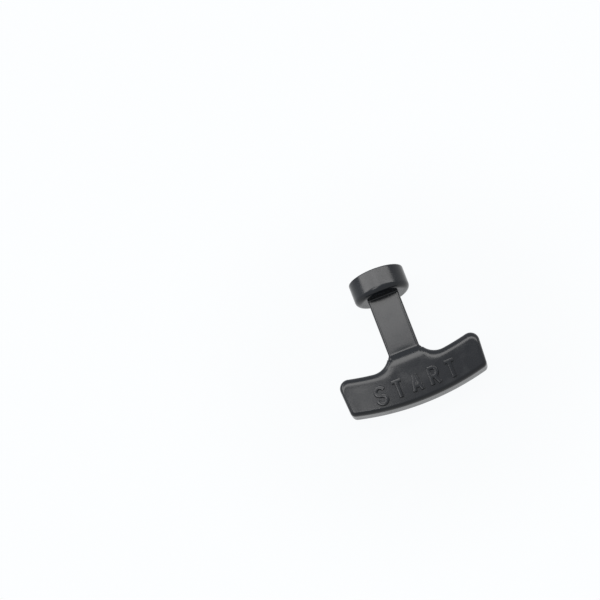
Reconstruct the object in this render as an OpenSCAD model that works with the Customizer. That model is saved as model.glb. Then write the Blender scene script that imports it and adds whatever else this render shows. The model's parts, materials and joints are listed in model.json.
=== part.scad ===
// Recoil starter handle, moulded in one piece: a curved bar for two
// fingers each side, a flat shank and a thick round flange, with the cord
// bore inside. Units are millimetres.
//
// The piece lies as it comes to rest: the flange stands on its lower
// edge, the bar on its lower outer edge, so the shank leans up a little.
// x runs along the bar, y from the bar to the flange, z up.

/* [Bar] */
// length of the bar over both ends
bar_len = 78;           // [62:1:95]
// width of the bar, outer edge to inner edge
bar_w = 21;             // [16:0.2:27]
// thickness of the bar
bar_t = 13.8;           // [11:0.2:18]
// radius of the long curved edges
bar_sweep = 145;        // [110:1:260]
// lean of the end faces, degrees
end_lean = 4;           // [0:0.5:9]
// corner radius at the outer edge
corner_out = 2.8;       // [1.5:0.1:5]
// corner radius at the inner edge
corner_in = 4.8;        // [2:0.1:6]

/* [Rounded edges of the bar] */
// height of the edge rounding
edge_h = 3;             // [1.5:0.1:4.5]
// reach of the rounding at the outer edge
edge_out = 2;           // [1:0.1:3]
// reach of the rounding at the end faces
edge_end = 2;           // [1:0.1:3]
// reach of the rounding along the inner edge
edge_in = 3.6;          // [2:0.1:5]
// reach of the slope that runs down to the shank
edge_neck = 5.2;        // [3:0.1:7]

/* [Shank] */
// width of the shank
shank_w = 17.1;         // [13:0.1:20]
// thickness of the shank
shank_t = 10.3;         // [9.4:0.1:13]
// edge radius of the shank
shank_r = 1.1;          // [0.4:0.1:2]
// radius of the fillets between shank and bar
fillet_r = 10;          // [6:0.1:13]

/* [Flange] */
// length of the whole handle along the shank
total_len = 73.4;       // [62:0.5:90]
// diameter of the flange
flange_d = 30.6;        // [25:0.5:38]
// thickness of the flange
flange_t = 12.9;        // [10:0.5:18]
// radius of the flange edge on the bar side
flange_r = 3.1;         // [1:0.1:4]
// radius of the flange rim on the cord side
rim_r = 0.6;            // [0.3:0.1:1.5]

/* [Hidden side] */
// diameter of the hollow in the end of the flange
cup_d = 23;             // [18:0.5:26]
// depth of that hollow
cup_depth = 6;          // [3:0.5:8]
// diameter of the cord bore
bore_d = 6.6;           // [5:0.1:7.4]
// diameter of the knot pocket in the back of the bar
pocket_d = 12;          // [9:0.5:14]
// wall left between the pocket and the front face
pocket_wall = 3.4;      // [2.4:0.1:5]

/* [Hidden] */
$fn = 96;
half_t = bar_t / 2;
half_s = min(shank_t / 2, half_t - 0.6);
half_w = shank_w / 2;
flange_y = total_len - flange_t;
flange_rad = flange_d / 2;
// steps of each edge rounding and of each arc of the outline
edge_n = 6;
long_n = 12;
corner_n = 6;
fillet_n = 9;
neck_n = 4;
// half width of the end line, measured square to it
end_k = (bar_len / 2 - bar_w * sin(end_lean)) * cos(end_lean);
// the crest of the neck, the line where the face of the bar ends
crest_gap = 0.7;
side_dive = 0.25;
neck_dive = 0.6;
neck_r = 1.2;
crest_r = 0.3;
crest_y = inner_y(half_w + fillet_r) + crest_gap;
neck_y = crest_y + edge_neck;

// height of the inner edge of the bar above a place x along it
function inner_y(x) = bar_w + bar_sweep - sqrt(pow(bar_sweep, 2) - pow(x, 2));

// unit vector square to the end line, and the direction of that line
function end_n() = [cos(end_lean), -sin(end_lean)];
function end_d() = [sin(end_lean), cos(end_lean)];

// centre of a corner circle that touches the end line, moved in by off,
// and lies at a set distance from the centre c of a long arc
function corner_c(c, dist, off) =
    let (base = end_n() * off - c,
         along = base * end_d(),
         rest = base * base - dist * dist,
         t = -along - sqrt(along * along - rest))
    end_n() * off + end_d() * t;

function arc(c, r, a0, a1, n, first = 0) =
    [for (i = [first : n])
        let (a = a0 + (a1 - a0) * i / n)
        c + r * [cos(a), sin(a)]];

function angle_of(v) = atan2(v[1], v[0]);

// one half of the outline of the bar, from beside the middle of its outer
// edge to the middle of the neck; the edges are moved in by given amounts.
// The two halves leave a short straight line between them, on which the
// bar lies
function half_outline(out, end, inn, side, r_out, r_in, r_fil, top, r_top, lean) =
    let (c_out = [0, bar_sweep],
         r_long = bar_sweep - out,
         c_in = [0, bar_w + bar_sweep],
         r_inn = bar_sweep + inn,
         k = end_k - end,
         q_out = corner_c(c_out, r_long - r_out, k - r_out),
         q_in = corner_c(c_in, r_inn + r_in, k - r_in),
         fil_x = side + r_fil,
         q_fil = [fil_x, c_in[1] - sqrt(pow(r_inn - r_fil, 2) - pow(fil_x, 2))],
         a_end = angle_of(end_n()),
         cut = max(0, q_fil[1] - (top - r_top)),
         a_fil = -180 + asin(min(0.9, cut / r_fil)),
         x_top = q_fil[0] + r_fil * cos(a_fil) - lean - r_top)
    concat(
        arc(c_out, r_long, -90, angle_of(q_out - c_out), long_n, 1),
        arc(q_out, r_out, angle_of(q_out - c_out), a_end, corner_n, 1),
        arc(q_in, r_in, a_end, angle_of(c_in - q_in), corner_n),
        arc(c_in, r_inn, angle_of(q_in - c_in), angle_of(q_fil - c_in), long_n, 1),
        arc(q_fil, r_fil, angle_of(q_fil - c_in), a_fil, fillet_n, 1),
        arc([x_top, top - r_top], r_top, 0, 90, neck_n, 1),
        [[0, top]]);

// the whole outline, both halves
function whole(half) =
    concat(half,
        [for (i = [len(half) - 2 : -1 : 0]) [-half[i][0], half[i][1]]]);

wide = whole(half_outline(0, 0, 0, half_w - side_dive,
    corner_out, corner_in, fillet_r, neck_y, neck_r, neck_dive));
crest = whole(half_outline(edge_out, edge_end, edge_in, half_w - 1.7,
    max(0.8, corner_out - 1.2), max(1, corner_in - 2.2),
    max(3, fillet_r - 1.6), crest_y, crest_r, 0));

// one level of the bar: angle 0 is the wide outline, 90 the crest
function level(a, side) =
    let (f = 1 - cos(a),
         z = side * (half_t - edge_h + edge_h * sin(a)))
    [for (i = [0 : len(wide) - 1])
        let (p = wide[i] + (crest[i] - wide[i]) * f)
        [p[0], p[1], z]];

// the bar with its rounded edges
module bar()
{
    n = len(wide);
    low = [for (i = [edge_n : -1 : 0]) level(90 * i / edge_n, -1)];
    high = [for (i = [0 : edge_n]) level(90 * i / edge_n, 1)];
    levels = concat(low, high);
    rows = len(levels);
    points = [for (l = levels) for (p = l) p];
    walls = [for (r = [0 : rows - 2]) for (j = [0 : n - 1])
        let (a = r * n + j, b = r * n + (j + 1) % n)
        for (f = [[a, a + n, b + n], [a, b + n, b]]) f];
    base = [for (j = [0 : n - 1]) j];
    lid = [for (j = [n - 1 : -1 : 0]) (rows - 1) * n + j];
    polyhedron(points = points, faces = concat([base, lid], walls), convexity = 6);
}

// the section of the shank, its edges rounded
function shank_section(r) =
    [for (q = [0 : 3]) for (i = [0 : corner_n])
        let (a = 90 * q + 90 * i / corner_n,
             sx = (q == 0 || q == 3) ? 1 : -1,
             sy = (q < 2) ? 1 : -1)
        [sx * (half_w - r) + r * cos(a), sy * (half_s - r) + r * sin(a)]];

// the shank, from inside the bar to inside the flange
module shank()
{
    start = bar_w * 0.62;
    stop = flange_y + 2;
    translate([0, stop, 0])
        rotate([90, 0, 0])
            linear_extrude(height = stop - start)
                polygon(shank_section(min(shank_r, half_s / 3)));
}

// the flange, turned about the axis of the shank
module flange()
{
    steps = 6;
    low = [for (i = [0 : steps])
        let (a = 90 * i / steps)
        [flange_rad - flange_r + flange_r * sin(a), flange_r - flange_r * cos(a)]];
    rim = [for (i = [0 : steps])
        let (a = 90 * i / steps)
        [flange_rad - rim_r + rim_r * cos(a), flange_t - rim_r + rim_r * sin(a)]];
    translate([0, flange_y, 0])
        rotate([-90, 0, 0])
            rotate_extrude()
                polygon(concat([[0, 0]], low, rim, [[0, flange_t]]));
}

// a round hole along the shank, between two places on its axis
module along(d, from, to)
{
    translate([0, from, 0])
        rotate([-90, 0, 0])
            cylinder(d = d, h = to - from);
}

// what is hollow: the cup, the cord bore and the knot pocket
module hollows()
{
    cup = min(cup_d, flange_d - 5);
    pocket_y = bar_w * 0.47;
    depth = min(cup_depth, flange_t - 4);
    along(cup, total_len - depth, total_len + 2);
    along(bore_d, pocket_y, total_len - depth + 1);
    translate([0, pocket_y, -half_t - 2])
        cylinder(d = pocket_d, h = bar_t + 2 - pocket_wall);
}

// the lean of the shank when the piece lies on the floor
reach = flange_y + flange_r - edge_out;
lift = (flange_rad - flange_r) - (half_t - edge_h);
function edge_support(t) = sqrt(pow(edge_out * sin(t), 2) + pow(edge_h * cos(t), 2));
function lean_of(t, n) =
    n == 0 ? t
    : lean_of(atan2(lift, reach)
        + asin((flange_r - edge_support(t)) / norm([reach, lift])), n - 1);
rest_lean = lean_of(8, 6);

// how far the piece is moved so that it stands on the floor, centred
rest_z = (flange_rad - flange_r) * cos(rest_lean) + flange_r
    - (flange_y + flange_r) * sin(rest_lean);
far_y = (total_len - rim_r) * cos(rest_lean) + (flange_rad - rim_r) * sin(rest_lean) + rim_r;
near_y = edge_out * cos(rest_lean) - (half_t - edge_h) * sin(rest_lean)
    - sqrt(pow(edge_out * cos(rest_lean), 2) + pow(edge_h * sin(rest_lean), 2));

// the handle as it lies at rest
module handle()
{
    color([0.03, 0.032, 0.034])
        translate([0, -(far_y + near_y) / 2, rest_z])
            rotate([rest_lean, 0, 0])
                difference() {
                    union() {
                        bar();
                        shank();
                        flange();
                    }
                    hollows();
                }
}

handle();
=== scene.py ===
"""Looks of a recoil starter handle: one black moulding with raised letters.

The moulding is worked out in millimetres in its own frame: x along the bar,
y from the outer edge of the bar to the flange, z through the thickness, with
the lettered face on top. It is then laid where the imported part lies.
"""

import json
import math

import bpy
import numpy as np
from mathutils import Matrix, Vector


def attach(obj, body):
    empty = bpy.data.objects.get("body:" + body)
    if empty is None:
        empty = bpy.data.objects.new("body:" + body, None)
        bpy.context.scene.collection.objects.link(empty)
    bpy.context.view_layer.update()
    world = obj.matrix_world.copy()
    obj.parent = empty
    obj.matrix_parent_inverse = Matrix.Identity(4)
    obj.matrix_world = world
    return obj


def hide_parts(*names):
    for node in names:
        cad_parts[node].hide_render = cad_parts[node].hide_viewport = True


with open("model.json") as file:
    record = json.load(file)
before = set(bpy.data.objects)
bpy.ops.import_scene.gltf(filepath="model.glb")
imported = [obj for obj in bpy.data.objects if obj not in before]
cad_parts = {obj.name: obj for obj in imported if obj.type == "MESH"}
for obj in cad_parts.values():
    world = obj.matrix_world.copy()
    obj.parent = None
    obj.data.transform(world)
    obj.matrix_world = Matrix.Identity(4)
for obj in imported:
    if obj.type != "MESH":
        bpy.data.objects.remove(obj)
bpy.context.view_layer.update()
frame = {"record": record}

# Sizes of the handle, in millimetres

BAR_LEN = 78.0
BAR_W = 21.0
BAR_T = 13.8
BAR_SWEEP = 145.0
END_LEAN = math.radians(4.0)
CORNER_OUT = 2.8
CORNER_IN = 4.8

# edges of the bar: their height and how far each reaches inwards
EDGE_H = 3.0
EDGE_OUT = 2.0
EDGE_END = 2.0
EDGE_IN = 4.6
EDGE_NECK = 6.4

# the neck: where its crest lies past the inner edge, how its wide outline
# is rounded and leans, and how narrow and round its crest is
CREST_GAP = -0.5
NECK_SIDE = 0.1
NECK_ROUND = 1.2
NECK_LEAN = 0.6
CREST_SIDE = 1.7
CREST_ROUND = 0.5

# how much smaller the corners and the fillet are on the crest outline
CREST_LESS_OUT = 1.2
CREST_LESS_IN = 2.2
CREST_LESS_FILLET = 1.6

SHANK_W = 17.1
SHANK_T = 10.3
SHANK_EDGE = 1.5
SHANK_START = BAR_W * 0.62
SHANK_IN_FLANGE = 2
FILLET = 10.0

TOTAL_LEN = 73.4
FLANGE_D = 30.6
FLANGE_T = 12.9
FLANGE_EDGE = 3.1
RIM_EDGE = 0.6

CUP_D = 23.0
CUP_DEPTH = 6.0
BORE_D = 6.6
POCKET_D = 12.0
POCKET_WALL = 3.4
POCKET_Y = BAR_W * 0.47

# how far above the axis the record's flange_face mount lies
FACE_MOUNT_Z = 13.2

# how softly the forms run into each other
NECK_BLEND = 1.1
FLANGE_BLEND = 0.5
HOLLOW_BLEND = 0.5
BORE_BLEND = 0.6

# the broad faces have sunk a little as the thick moulding cooled
SINK_DEPTH = 0.12
SINK_REACH = 3.4
SHANK_SINK = 0.06
FOOT_SINK = 0.09
FOOT_REACH = 1.8

# the sink follows the neck from this far beside the shank, over this width
NECK_BESIDE = 5
NECK_FADE = 8

# the grid that the skin is found on, moved a little so that no flat face
# lies on it, and how many of its points are measured at a time
MESH_STEP = 0.38
GRID_SHIFT = 0.11
CHUNK = 20000

# letters: pitch, height, width and stroke, and how far they stand up
LETTER_PITCH = 9.8
LETTER_MIDDLE = (0.1, 9.5)
LETTER_H = 11.2
LETTER_W = 7.0
STROKE_W = 2.2
LETTER_RISE = 0.8
LETTER_SINK = 0.4
LETTER_EDGE = 0.5

MM = 0.001
half_t = BAR_T / 2
half_s = SHANK_T / 2
half_w = SHANK_W / 2
flange_y = TOTAL_LEN - FLANGE_T
end_reach = (BAR_LEN / 2 - BAR_W * math.sin(END_LEAN)) * math.cos(END_LEAN)


def inner_edge(x):
    """Place of the bar's inner edge above x."""
    return BAR_W + BAR_SWEEP - math.sqrt(BAR_SWEEP ** 2 - x ** 2)


crest_y = inner_edge(half_w + FILLET) + CREST_GAP
neck_y = crest_y + EDGE_NECK


# The form of the handle

def arc(centre, radius, start, stop, steps=40):
    """Points on an arc, from one angle to the other."""
    turn = np.linspace(start, stop, steps)
    return np.column_stack([centre[0] + radius * np.cos(turn),
                            centre[1] + radius * np.sin(turn)])


def angle(vector):
    return math.atan2(vector[1], vector[0])


def corner(long_centre, distance, inset):
    """Centre of the round corner between a long edge and an end face."""
    out = np.array([math.cos(END_LEAN), -math.sin(END_LEAN)])
    up = np.array([math.sin(END_LEAN), math.cos(END_LEAN)])
    base = out * inset - long_centre
    along = base @ up
    return out * inset - up * (along + math.sqrt(along ** 2 - base @ base + distance ** 2))


def bar_outline(outer, end, inner, side, r_out, r_in, r_fillet, top, r_top, lean):
    """Right half of the bar seen from above, its edges moved in as given."""
    low = np.array([0.0, BAR_SWEEP])
    high = np.array([0.0, BAR_W + BAR_SWEEP])
    r_low, r_high = BAR_SWEEP - outer, BAR_SWEEP + inner
    inset = end_reach - end
    c_out = corner(low, r_low - r_out, inset - r_out)
    c_in = corner(high, r_high + r_in, inset - r_in)
    x_fillet = side + r_fillet
    c_fillet = np.array([x_fillet,
                         high[1] - math.sqrt((r_high - r_fillet) ** 2 - x_fillet ** 2)])
    drop = max(0.0, c_fillet[1] - (top - r_top))
    last = -math.pi + math.asin(min(0.9, drop / r_fillet))
    x_top = c_fillet[0] + r_fillet * math.cos(last) - lean - r_top
    return np.concatenate([
        arc(low, r_low, -math.pi / 2, angle(c_out - low)),
        arc(c_out, r_out, angle(c_out - low), -END_LEAN, 16),
        arc(c_in, r_in, -END_LEAN, angle(high - c_in), 20),
        arc(high, r_high, angle(c_in - high), angle(c_fillet - high)),
        arc(c_fillet, r_fillet, angle(c_fillet - high), last, 30),
        arc((x_top, top - r_top), r_top, 0, math.pi / 2, 10),
        [[0.0, top]]])


WIDE = bar_outline(0, 0, 0, half_w - NECK_SIDE, CORNER_OUT, CORNER_IN, FILLET,
                   neck_y, NECK_ROUND, NECK_LEAN)
CREST = bar_outline(EDGE_OUT, EDGE_END, EDGE_IN, half_w - CREST_SIDE,
                    CORNER_OUT - CREST_LESS_OUT, CORNER_IN - CREST_LESS_IN,
                    FILLET - CREST_LESS_FILLET, crest_y, CREST_ROUND, 0.0)


def depth_inside(line, x, y):
    """Distance to an outline of the right half, positive inside it."""
    flat_x, flat_y = np.abs(np.ravel(x)), np.ravel(y)
    start, stop = line[:-1], line[1:]
    along = stop - start
    length2 = np.maximum((along ** 2).sum(1), 1e-12)
    ring = np.vstack([line, [-5.0, line[-1, 1]], [-5.0, line[0, 1]]])
    ahead = np.roll(ring, -1, 0)
    depth = np.empty(flat_x.size)
    for first in range(0, flat_x.size, CHUNK):
        part = slice(first, first + CHUNK)
        px, py = flat_x[part, None], flat_y[part, None]
        t = ((px - start[:, 0]) * along[:, 0] + (py - start[:, 1]) * along[:, 1]) / length2
        t = np.clip(t, 0, 1)
        gap = np.hypot(px - start[:, 0] - t * along[:, 0], py - start[:, 1] - t * along[:, 1])
        crosses = (ring[:, 1] > py) != (ahead[:, 1] > py)
        rise = np.where(ahead[:, 1] == ring[:, 1], 1.0, ahead[:, 1] - ring[:, 1])
        where = ring[:, 0] + (py - ring[:, 1]) / rise * (ahead[:, 0] - ring[:, 0])
        inside = (crosses & (px < where)).sum(1) % 2 == 1
        depth[part] = gap.min(1) * np.where(inside, 1, -1)
    return depth.reshape(np.shape(x))


def blend(a, b, reach):
    """Union of two forms with a small fillet where they meet."""
    h = np.clip(0.5 + 0.5 * (b - a) / reach, 0, 1)
    return b + (a - b) * h - reach * h * (1 - h)


def cut(a, b, reach):
    """Form a without form b, its new edge rounded."""
    return -blend(-a, b, reach)


def sunk(x, y):
    """How far the broad face lies below its crest line."""
    x = np.abs(x)
    beside = np.clip((half_w + NECK_BESIDE - x) / NECK_FADE, 0, 1)
    neck = (crest_y - BAR_W + EDGE_IN) * beside ** 2 * (3 - 2 * beside)
    from_inner = np.hypot(x, y - BAR_W - BAR_SWEEP) - BAR_SWEEP - EDGE_IN + neck
    from_end = end_reach - EDGE_END - x * math.cos(END_LEAN) + y * math.sin(END_LEAN)
    depth = SINK_DEPTH
    for gap in (from_inner, from_end):
        depth = depth * (1 - np.exp(-(np.maximum(gap, 0) / SINK_REACH) ** 2))
    return depth


def plan_of(x, y):
    """What the bar's form needs at each place seen from above."""
    return depth_inside(WIDE, x, y), depth_inside(CREST, x, y), sunk(x, y)


def bar_form(z, plan):
    """The bar: its edges fall in a quarter ellipse from the crest outline
    to the wide one."""
    wide, crest, sink = plan
    reach = np.maximum(wide - crest, 0.3)
    across = np.maximum(1 - wide / reach, 0)
    climb = (np.abs(z) + sink - (half_t - EDGE_H)) / EDGE_H
    high = np.maximum(climb, 1e-6)
    level = np.hypot(across, high)
    steep = np.hypot(across / reach, high / EDGE_H)
    return np.where(climb > 0, level * (level - 1) / np.maximum(steep, 1e-9), -wide)


def shank_form(x, y, z):
    """The shank, a rounded bar of oblong section, its broad faces a
    little hollow, most of all at its foot."""
    qx = np.abs(x) - (half_w - SHANK_EDGE)
    dip = SHANK_SINK + FOOT_SINK * np.exp(-((y - neck_y) / FOOT_REACH) ** 2)
    dip = dip * np.clip(1 - (x / (half_w - SHANK_EDGE)) ** 2, 0, 1)
    qz = np.abs(z) - (half_s - SHANK_EDGE) + dip
    section = np.hypot(np.maximum(qx, 0), np.maximum(qz, 0))
    section = section + np.minimum(np.maximum(qx, qz), 0) - SHANK_EDGE
    return np.maximum(section, np.maximum(SHANK_START - y, y - flange_y - SHANK_IN_FLANGE))


def flange_form(x, y, z):
    """The flange, turned about the axis of the shank."""
    half = FLANGE_T / 2
    up = y - (flange_y + half)
    edge = np.where(up > 0, RIM_EDGE, FLANGE_EDGE)
    qr = np.hypot(x, z) - FLANGE_D / 2 + edge
    qy = np.abs(up) - half + edge
    return np.hypot(np.maximum(qr, 0), np.maximum(qy, 0)) + np.minimum(np.maximum(qr, qy), 0) - edge


def hollow_form(x, y, z):
    """The cup in the flange, the cord bore and the pocket for the knot."""
    from_axis = np.hypot(x, z)
    cup = np.maximum(from_axis - CUP_D / 2, TOTAL_LEN - CUP_DEPTH - y)
    bore = np.maximum(from_axis - BORE_D / 2, POCKET_Y - y)
    pocket = np.maximum(np.hypot(x, y - POCKET_Y) - POCKET_D / 2,
                        z - (half_t - POCKET_WALL))
    return blend(blend(cup, bore, BORE_BLEND), pocket, BORE_BLEND)


def handle_form(x, y, z, plan=None):
    """Signed distance to the skin of the whole handle, negative inside."""
    if plan is None:
        plan = plan_of(x, y)
    solid = blend(bar_form(z, plan), shank_form(x, y, z), NECK_BLEND)
    solid = blend(solid, flange_form(x, y, z), FLANGE_BLEND)
    return cut(solid, hollow_form(x, y, z), HOLLOW_BLEND)


# From a form to a mesh

def skin(values, low, step):
    """Quads over the zero surface of a grid of distances: one point in
    each cell that the surface crosses, one face for each edge it cuts."""
    inside = values < 0
    cells = tuple(n - 1 for n in values.shape)
    corners = [(i, j, k) for i in (0, 1) for j in (0, 1) for k in (0, 1)]
    count = sum(inside[i:i + cells[0], j:j + cells[1], k:k + cells[2]].astype(np.int8)
                for i, j, k in corners)
    where = np.argwhere((count > 0) & (count < 8))
    number = np.full(cells, -1)
    number[tuple(where.T)] = np.arange(len(where))
    total, crossings = np.zeros((len(where), 3)), np.zeros((len(where), 1))
    for a in corners:
        for axis in range(3):
            if a[axis]:
                continue
            b = tuple(c + (n == axis) for n, c in enumerate(a))
            va, vb = (values[tuple((where + c).T)] for c in (a, b))
            hit = (va < 0) != (vb < 0)
            t = np.where(hit, va / np.where(hit, va - vb, 1), 0)
            place = np.array(a, float) + t[:, None] * np.eye(3)[axis]
            total += place * hit[:, None]
            crossings += hit[:, None]
    points = (where + total / crossings) * step + low
    faces = []
    for axis in range(3):
        side, rise = [n for n in range(3) if n != axis]
        ahead = np.take(inside, range(1, inside.shape[axis]), axis)
        here = np.take(inside, range(0, inside.shape[axis] - 1), axis)
        at = np.argwhere(here != ahead)
        ring = []
        for d_side, d_rise in ((-1, -1), (0, -1), (0, 0), (-1, 0)):
            cell = at.copy()
            cell[:, side] += d_side
            cell[:, rise] += d_rise
            ring.append(number[tuple(cell.T)])
        quads = np.column_stack(ring)
        outward = here[tuple(at.T)] if axis != 1 else ~here[tuple(at.T)]
        faces.append(np.where(outward[:, None], quads, quads[:, ::-1]))
    return points, np.concatenate(faces)


def slope(form, points, reach=0.02):
    """Distance and its gradient at each point."""
    x, y, z = points.T
    base = form(x, y, z)
    steps = [form(x + reach, y, z), form(x, y + reach, z), form(x, y, z + reach)]
    return base, np.column_stack([(s - base) / reach for s in steps])


def settle(points, faces, form, rounds=3):
    """Evens out the points and draws them onto the skin of the form."""
    edges = np.concatenate([faces[:, [n, (n + 1) % 4]] for n in range(4)])
    for turn in range(rounds):
        if turn < rounds - 1:
            near, ties = np.zeros_like(points), np.zeros((len(points), 1))
            np.add.at(near, edges[:, 0], points[edges[:, 1]])
            np.add.at(ties, edges[:, 0], 1.0)
            points = points + 0.5 * (near / ties - points)
        for _ in range(2 if turn == rounds - 1 else 1):
            gap, rise = slope(form, points)
            lift = np.maximum((rise ** 2).sum(1), 0.2)
            points = points - (gap / lift)[:, None] * rise
    _, rise = slope(form, points)
    return points, rise / np.linalg.norm(rise, axis=1)[:, None]


def lay_down(points):
    """From the handle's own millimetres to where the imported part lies."""
    return (points * MM) @ lean.T + origin


def mesh_piece(name, points, faces, normals=None):
    """A smooth mesh object with its place in its mesh."""
    mesh = bpy.data.meshes.new(name)
    mesh.from_pydata(lay_down(points).tolist(), [], faces.tolist())
    mesh.polygons.foreach_set("use_smooth", [True] * len(mesh.polygons))
    if normals is not None:
        mesh.normals_split_custom_set_from_vertices((normals @ lean.T).tolist())
    piece = bpy.data.objects.new(name, mesh)
    bpy.context.scene.collection.objects.link(piece)
    return piece


def moulding():
    """The handle as one skin."""
    x = np.arange(0.5, BAR_LEN / 2 / MESH_STEP + 2) * MESH_STEP
    y = np.arange(-2, TOTAL_LEN / MESH_STEP + 3) * MESH_STEP + GRID_SHIFT
    z = np.arange(-1.5 - int(FLANGE_D / 2 / MESH_STEP), FLANGE_D / 2 / MESH_STEP + 2) * MESH_STEP
    flat_x, flat_y = np.meshgrid(x, y, indexing="ij")
    plan = [layer[:, :, None] for layer in plan_of(flat_x, flat_y)]
    values = handle_form(x[:, None, None], y[None, :, None], z[None, None, :], plan)
    values = np.concatenate([values[::-1], values])
    low = np.array([-x[-1], y[0], z[0]])
    points, faces = skin(values, low, MESH_STEP)
    points, normals = settle(points, faces, handle_form)
    return mesh_piece("moulded_handle", points, faces, normals)


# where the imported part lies: the lean and the place of its flange face
face_mount = next(m for m in frame["record"]["mounts"] if m["name"] == "flange_face")
axis_y, axis_z = face_mount["axis"][1:]
tilt = math.atan2(axis_z, axis_y)
lean = np.array([[1, 0, 0],
                 [0, math.cos(tilt), -math.sin(tilt)],
                 [0, math.sin(tilt), math.cos(tilt)]])
face_point = np.array([0.0, TOTAL_LEN, FACE_MOUNT_Z])
origin = np.array(face_mount["pos_m"]) - lean @ face_point * MM


# Node trees and materials

class Value:
    """A socket's value in a sum: each operator adds its Math node."""

    def __init__(self, tree, socket):
        self.tree, self.socket = tree, socket

    def math(self, operation, *others, turned=False):
        terms = [self, *others]
        if turned:
            terms.reverse()
        return self.tree.add("ShaderNodeMath", {"operation": operation},
                             dict(enumerate(terms)))

    def __add__(self, other):
        return self.math("ADD", other)

    def __rsub__(self, other):
        return self.math("SUBTRACT", other, turned=True)

    def __mul__(self, other):
        return self.math("MULTIPLY", other)

    __radd__ = __add__
    __rmul__ = __mul__


class Tree:
    """A node tree that is built up by calls."""

    def __init__(self, tree):
        self.tree = tree
        tree.nodes.clear()

    def add(self, kind, settings=None, inputs=None, output=0):
        """Adds a node: its settings first, then values or links of its
        sockets. Gives the chosen output."""
        node = self.tree.nodes.new(kind)
        for name, setting in (settings or {}).items():
            setattr(node, name, setting)
        for name, value in (inputs or {}).items():
            if isinstance(value, Value):
                self.tree.links.new(value.socket, node.inputs[name])
            else:
                node.inputs[name].default_value = value
        return Value(self, node.outputs[output]) if node.outputs else node


def noise(tree, place, scale, detail=2.0, rough=0.5):
    """Noise of the given number of cycles a metre, about 0.5."""
    return tree.add("ShaderNodeTexNoise", None,
                    {"Vector": place, "Scale": scale, "Detail": detail, "Roughness": rough})


def fade(tree, value, low, high, start=0.0, stop=1.0):
    """Smooth step of a value from low to high, given as start to stop."""
    return tree.add("ShaderNodeMapRange", {"interpolation_type": "SMOOTHSTEP"},
                    {0: value, 1: low, 2: high, 3: start, 4: stop})


def tint(tree, share, first, second):
    return tree.add("ShaderNodeMix", {"data_type": "RGBA"},
                    {0: share, 6: (*first, 1), 7: (*second, 1)}, output=2)


def new_material(name):
    material = bpy.data.materials.new(name)
    material.use_nodes = True
    return material, Tree(material.node_tree)


BLACK = (0.004, 0.0055, 0.0085)
RUBBED = (0.011, 0.013, 0.016)

# lower than the 1.53 of bare nylon, because the gloss mirrors surroundings
# that are white all round
GLOSS_IOR = 1.38


def black_plastic():
    """Semi-gloss moulded nylon: fine mould grain, slow sink ripples, a
    faint parting line, handling marks in the gloss and a little dust."""
    material, tree = new_material("black_moulded_plastic")
    place = tree.add("ShaderNodeTexCoord", output=3)
    own = tree.add("ShaderNodeMapping", {"vector_type": "TEXTURE"},
                   {"Vector": place, "Location": tuple(origin), "Rotation": (tilt, 0, 0)})
    parts = tree.add("ShaderNodeSeparateXYZ", None, {0: own}).socket.node.outputs
    height = Value(tree, parts[2])

    grain = noise(tree, own, 2600, 3.0, 0.6)
    ripple = noise(tree, own, 55, 1.0, 0.4)
    marks = noise(tree, own, 130, 3.0, 0.55)
    scuffs = noise(tree, own, 900, 4.0, 0.7)
    parting = 1 - fade(tree, height.math("ABSOLUTE"), 0.00004, 0.00016)

    rub = fade(tree, marks, 0.5, 0.68)
    dust = fade(tree, scuffs, 0.62, 0.78) * 0.35
    colour = tint(tree, rub * 0.3 + dust, BLACK, RUBBED)
    rough = 0.18 + rub * 0.05 + grain * 0.05 + dust * 0.1

    relief = grain * 0.000006 + ripple * 0.00001 + parting * 0.00003
    bump = tree.add("ShaderNodeBump", None,
                    {"Strength": 1.0, "Distance": 1.0, "Height": relief})
    shader = tree.add("ShaderNodeBsdfPrincipled", None,
                      {"Base Color": colour, "Roughness": rough, "IOR": GLOSS_IOR, "Normal": bump})
    tree.add("ShaderNodeOutputMaterial", None, {"Surface": shader})
    return material


PLASTIC = black_plastic()


# Raised letters

def letter_strokes():
    """Centre lines of the letters, in a box one wide and one high."""
    bow = [(0.5 * math.cos(a), 0.26 * math.sin(a)) for a in np.linspace(0, math.pi, 11)]
    lower = [(0.5 * math.cos(a), 0.26 * math.sin(a)) for a in np.linspace(0, -math.pi, 11)]
    ess = [(x, 0.24 + y) for x, y in bow[1:]]
    ess += [(-0.5 * math.cos(a), 0.24 - 0.24 * math.sin(a))
            for a in np.linspace(0.25, math.pi / 2, 5)]
    ess += [(0.5 * math.sin(a), -0.26 + 0.26 * math.cos(a))
            for a in np.linspace(0, math.pi / 2, 7)]
    ess += [(x, -0.24 + y) for x, y in lower[1:]]
    tee = [[(-0.5, 0.5), (0.5, 0.5)], [(0, 0.5), (0, -0.5)]]
    ay = [[(-0.47, -0.5), (-0.06, 0.5)], [(0.47, -0.5), (0.06, 0.5)], [(-0.3, -0.2), (0.3, -0.2)]]
    loop = [(-0.42, 0.5), (0.1, 0.5)]
    loop += [(0.12 + 0.32 * math.sin(a), 0.24 + 0.26 * math.cos(a))
             for a in np.linspace(0.1, math.pi - 0.1, 9)]
    loop += [(0.1, -0.02), (-0.42, -0.02)]
    are = [[(-0.42, 0.5), (-0.42, -0.5)], loop, [(0.05, -0.02), (0.46, -0.5)]]
    return [[ess], tee, ay, are, tee]


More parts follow.
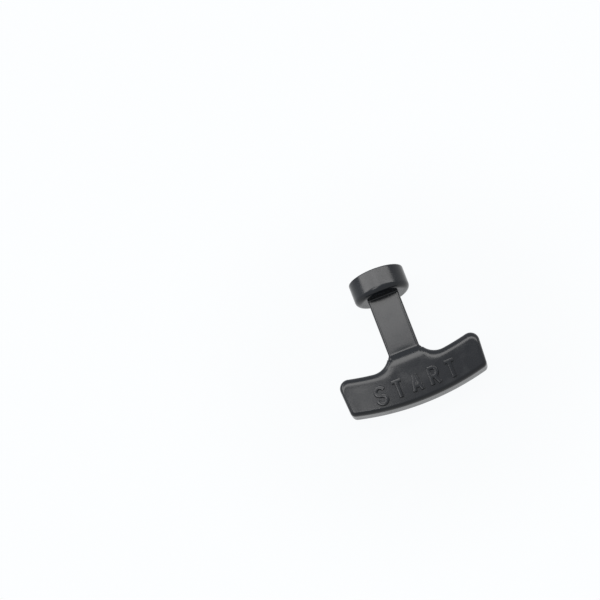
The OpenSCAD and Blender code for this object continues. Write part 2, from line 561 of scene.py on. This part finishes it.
def stroke_curves():
    """The strokes as curves on the face of the bar, in millimetres."""
    curve = bpy.data.curves.new("letter_strokes", "CURVE")
    curve.dimensions = "3D"
    inner_w, inner_h = LETTER_W - STROKE_W, LETTER_H - STROKE_W
    for number, letter in enumerate(letter_strokes()):
        middle = LETTER_MIDDLE[0] + (number - 2) * LETTER_PITCH
        for stroke in letter:
            spline = curve.splines.new("POLY")
            spline.points.add(len(stroke) - 1)
            for point, (x, y) in zip(spline.points, stroke):
                point.co = (middle + x * inner_w, LETTER_MIDDLE[1] + y * inner_h, 0, 1)
    strokes = bpy.data.objects.new("letter_strokes", curve)
    bpy.context.scene.collection.objects.link(strokes)
    return strokes


def ridge_tree():
    """Geometry nodes: a rounded ridge along each stroke, all joined."""
    tree = bpy.data.node_groups.new("ridge_along_strokes", "GeometryNodeTree")
    sockets = {}
    tree.interface.new_socket("Geometry", in_out="INPUT", socket_type="NodeSocketGeometry")
    for name in ("Width", "Height", "Edge"):
        socket = tree.interface.new_socket(name, in_out="INPUT", socket_type="NodeSocketFloat")
        sockets[name] = socket.identifier
    tree.interface.new_socket("Geometry", in_out="OUTPUT", socket_type="NodeSocketGeometry")
    build = Tree(tree)
    source = build.add("NodeGroupInput")
    given = {s.name: Value(build, s) for s in source.socket.node.outputs}
    section = build.add("GeometryNodeCurvePrimitiveQuadrilateral", {"mode": "RECTANGLE"},
                        {"Width": given["Width"], "Height": given["Height"]})
    section = build.add("GeometryNodeFilletCurve", {"mode": "POLY"},
                        {"Curve": section, "Count": 4, "Radius": given["Edge"],
                         "Limit Radius": True})
    line = build.add("GeometryNodeSetCurveNormal", {"mode": "Z_UP"}, {"Curve": given["Geometry"]})
    ridge = build.add("GeometryNodeCurveToMesh", None,
                      {"Curve": line, "Profile Curve": section, "Fill Caps": True})
    joined = build.add("GeometryNodeMeshBoolean", {"operation": "UNION", "solver": "EXACT"},
                       {"Mesh 2": ridge, "Self Intersection": True})
    whole = build.add("GeometryNodeRealizeInstances", None, {"Geometry": joined})
    finished = build.add("GeometryNodeSetMaterial", None,
                         {"Geometry": whole, "Material": PLASTIC})
    build.add("NodeGroupOutput", None, {"Geometry": finished})
    return tree, sockets


def raised_letters():
    """The letters as one plain mesh, seated in the face of the bar."""
    strokes = stroke_curves()
    tree, sockets = ridge_tree()
    modifier = strokes.modifiers.new("ridge", "NODES")
    modifier.node_group = tree
    modifier[sockets["Width"]] = STROKE_W
    modifier[sockets["Height"]] = LETTER_RISE + LETTER_SINK
    modifier[sockets["Edge"]] = LETTER_EDGE
    bpy.context.view_layer.update()
    graph = bpy.context.evaluated_depsgraph_get()
    mesh = bpy.data.meshes.new_from_object(strokes.evaluated_get(graph), depsgraph=graph)
    bpy.data.objects.remove(strokes)
    mesh.name = "raised_letters"
    points = np.empty(len(mesh.vertices) * 3)
    mesh.vertices.foreach_get("co", points)
    points = points.reshape(-1, 3)
    points[:, 2] += half_t - SINK_DEPTH + (LETTER_RISE - LETTER_SINK) / 2
    mesh.vertices.foreach_set("co", lay_down(points).ravel())
    mesh.update()
    piece = bpy.data.objects.new("raised_letters", mesh)
    bpy.context.scene.collection.objects.link(piece)
    return piece


handle = moulding()
handle.data.materials.append(PLASTIC)
letters = raised_letters()

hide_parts("handle")
for piece in (handle, letters):
    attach(piece, "root")


# Camera, light and floor

LAMP_HEIGHT = 0.22
LAMP_TINT = (1.0, 0.985, 0.965)
BACKDROP = (0.978, 0.991, 1.0, 1)
ROOM = (0.86, 0.93, 1.0, 1)
ROOM_STRENGTH = 0.095
FLOOR_PAINT = (0.36, 0.37, 0.39, 1)
FLOOR_HALF = 3.0

# the floor's faint shadow, partly painted: close to the handle the camera and the gloss see a share
# of the lit grey paint in place of the white, which darkens the floor there and lets the real
# shadow show; its depth, and where it starts and stops fading
SHADOW = 0.035
SHADOW_NEAR = 0.05
SHADOW_FAR = 0.14

def camera():
    """The photograph's camera: high above the bar's side, turned so that
    the shank leans to the left in the picture."""
    azimuth, elevation, roll = (math.radians(a) for a in (7.958, 64.830, -28.634))
    distance, across, up = 900.6 * MM, -54.75 * MM, 24.01 * MM
    focal_px, image_px = 1679.5, 600.0
    back = Vector((math.cos(elevation) * math.sin(azimuth),
                   -math.cos(elevation) * math.cos(azimuth), math.sin(elevation)))
    level = Vector((math.cos(azimuth), math.sin(azimuth), 0))
    upright = back.cross(level)
    right = level * math.cos(roll) + upright * math.sin(roll)
    top = upright * math.cos(roll) - level * math.sin(roll)
    data = bpy.data.cameras.new("camera")
    data.sensor_width = 36
    data.lens = 36 * focal_px / image_px
    data.clip_start, data.clip_end = 0.02, 20
    viewer = bpy.data.objects.new("camera", data)
    matrix = Matrix((right, top, back)).transposed().to_4x4()
    matrix.translation = right * across + top * up + back * distance
    viewer.matrix_world = matrix
    bpy.context.scene.collection.objects.link(viewer)
    bpy.context.scene.camera = viewer


def sees_white(tree):
    """One for camera, glossy and transmission rays, nought for all others."""
    rays = tree.add("ShaderNodeLightPath").socket.node.outputs
    camera_ray, glossy, through = (
        Value(tree, rays[f"Is {kind} Ray"]) for kind in ("Camera", "Glossy", "Transmission"))
    return camera_ray + glossy + through


def soft_lamp(name, across, away, size, brightness, turn=0.0):
    """An oblong lamp of even brightness that faces down, at x across and
    y away, turned in degrees."""
    data = bpy.data.lights.new(name, "AREA")
    data.shape = "RECTANGLE"
    data.size, data.size_y = size
    data.energy = brightness * math.pi * size[0] * size[1]
    data.color = LAMP_TINT
    lamp = bpy.data.objects.new(name, data)
    lamp.location = (across, away, LAMP_HEIGHT)
    lamp.rotation_euler.z = math.radians(turn)
    lamp.visible_camera = False
    bpy.context.scene.collection.objects.link(lamp)


def studio():
    """A long soft lamp overhead on the far side and smaller ones about it.
    The surroundings are white in the picture and in the gloss, and dim for
    the light that they throw on the handle."""
    soft_lamp("long_softbox", 0.0, 0.088, (0.8, 0.085), 5.6)
    soft_lamp("middle_softbox", -0.012, 0.031, (0.066, 0.042), 5.0, turn=24)
    soft_lamp("left_softbox", -0.073, -0.039, (0.08, 0.058), 6.6)
    soft_lamp("far_softbox", -0.3, 0.17, (0.25, 0.32), 4.5)
    world = bpy.data.worlds.new("studio")
    bpy.context.scene.world = world
    world.use_nodes = True
    tree = Tree(world.node_tree)
    seen = sees_white(tree)
    room = tree.add("ShaderNodeBackground", None,
                    {"Color": ROOM, "Strength": ROOM_STRENGTH})
    backdrop = tree.add("ShaderNodeBackground", None, {"Color": BACKDROP, "Strength": 1.0})
    both = tree.add("ShaderNodeMixShader", None, {0: seen, 1: room, 2: backdrop})
    tree.add("ShaderNodeOutputWorld", None, {"Surface": both})


def floor():
    """A white table. The camera and the gloss see it plain white, with a faint shadow close to the
    handle that is partly painted shade and partly the real shadow."""
    half = FLOOR_HALF
    mesh = bpy.data.meshes.new("floor")
    mesh.from_pydata([(-half, -half, 0), (half, -half, 0), (half, half, 0), (-half, half, 0)],
                     [], [(0, 1, 2, 3)])
    table = bpy.data.objects.new("floor", mesh)
    bpy.context.scene.collection.objects.link(table)
    material, tree = new_material("white_table")
    place = tree.add("ShaderNodeTexCoord", output=3)
    away = tree.add("ShaderNodeVectorMath", {"operation": "LENGTH"}, {0: place}, output=1)
    seen = sees_white(tree)
    # painted shade: a ring about the handle where part of the white is swapped for the darker lit
    # paint
    shade = fade(tree, away, SHADOW_NEAR, SHADOW_FAR, SHADOW, 0.0)
    paint = tree.add("ShaderNodeBsdfDiffuse", None, {"Color": FLOOR_PAINT})
    glow = tree.add("ShaderNodeEmission", None, {"Color": BACKDROP, "Strength": 1.0})
    both = tree.add("ShaderNodeMixShader", None,
                    {0: seen * (1 - shade), 1: paint, 2: glow})
    tree.add("ShaderNodeOutputMaterial", None, {"Surface": both})
    mesh.materials.append(material)


camera()
studio()
floor()
bpy.context.scene.view_settings.view_transform = "Standard"
